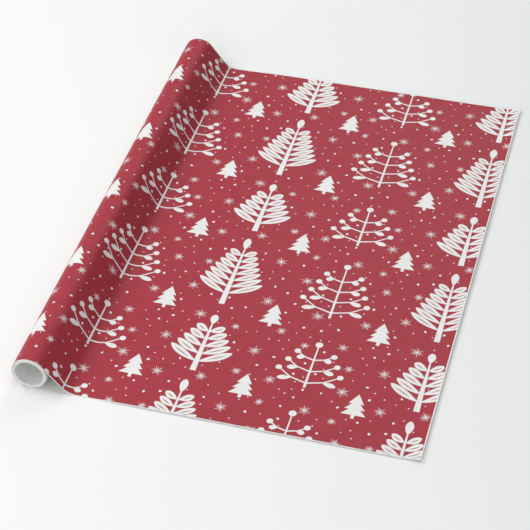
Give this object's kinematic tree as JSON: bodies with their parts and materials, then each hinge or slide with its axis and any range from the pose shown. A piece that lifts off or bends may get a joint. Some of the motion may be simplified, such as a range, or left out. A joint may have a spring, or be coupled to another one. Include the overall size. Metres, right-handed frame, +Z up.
{
  "type": "wrapping paper roll",
  "caption": "Roll of printed gift wrapping paper on a paperboard core, with a length of the sheet drawn off over the top and lying flat.",
  "frame": {"origin": "centre of the core's bore, half-way along the roll", "axes": "+Y along the roll's axis, +X the way the sheet is drawn off and lies flat, +Z up; the table is 23 mm below the origin"},
  "size_m": [0.5232, 0.737, 0.046],
  "materials": {
    "core_board": "matte",
    "tape": "satin",
    "wound_paper": "matte",
    "printed_paper": "satin"
  },
  "bodies": {
    "wrap": {"outer_turn": "printed_paper", "rise": "printed_paper", "feed_run": "printed_paper"},
    "roll": {"core_inner_ply": "core_board", "core_middle_ply": "core_board", "core_outer_ply": "core_board", "start_tape": "tape", "wound_turns": "wound_paper"},
    "free_sheet": {"laid_sheet": "printed_paper"}
  },
  "joints": [
    {"name": "roll_turn", "type": "hinge", "parent": "wrap", "child": "roll", "pos_m": [0, 0, 0], "axis": [0, 1, 0], "range_deg": [-180, 180]},
    {"name": "sheet_draw", "type": "slide", "parent": "wrap", "child": "free_sheet", "axis": [1, 0, 0], "range_m": [-0.072, 0.072], "deforming": ["feed_run"]}
  ],
  "couplings": [
    {"joint": "sheet_draw", "follows": "roll_turn", "m_per_rad": 0.0229}
  ]
}
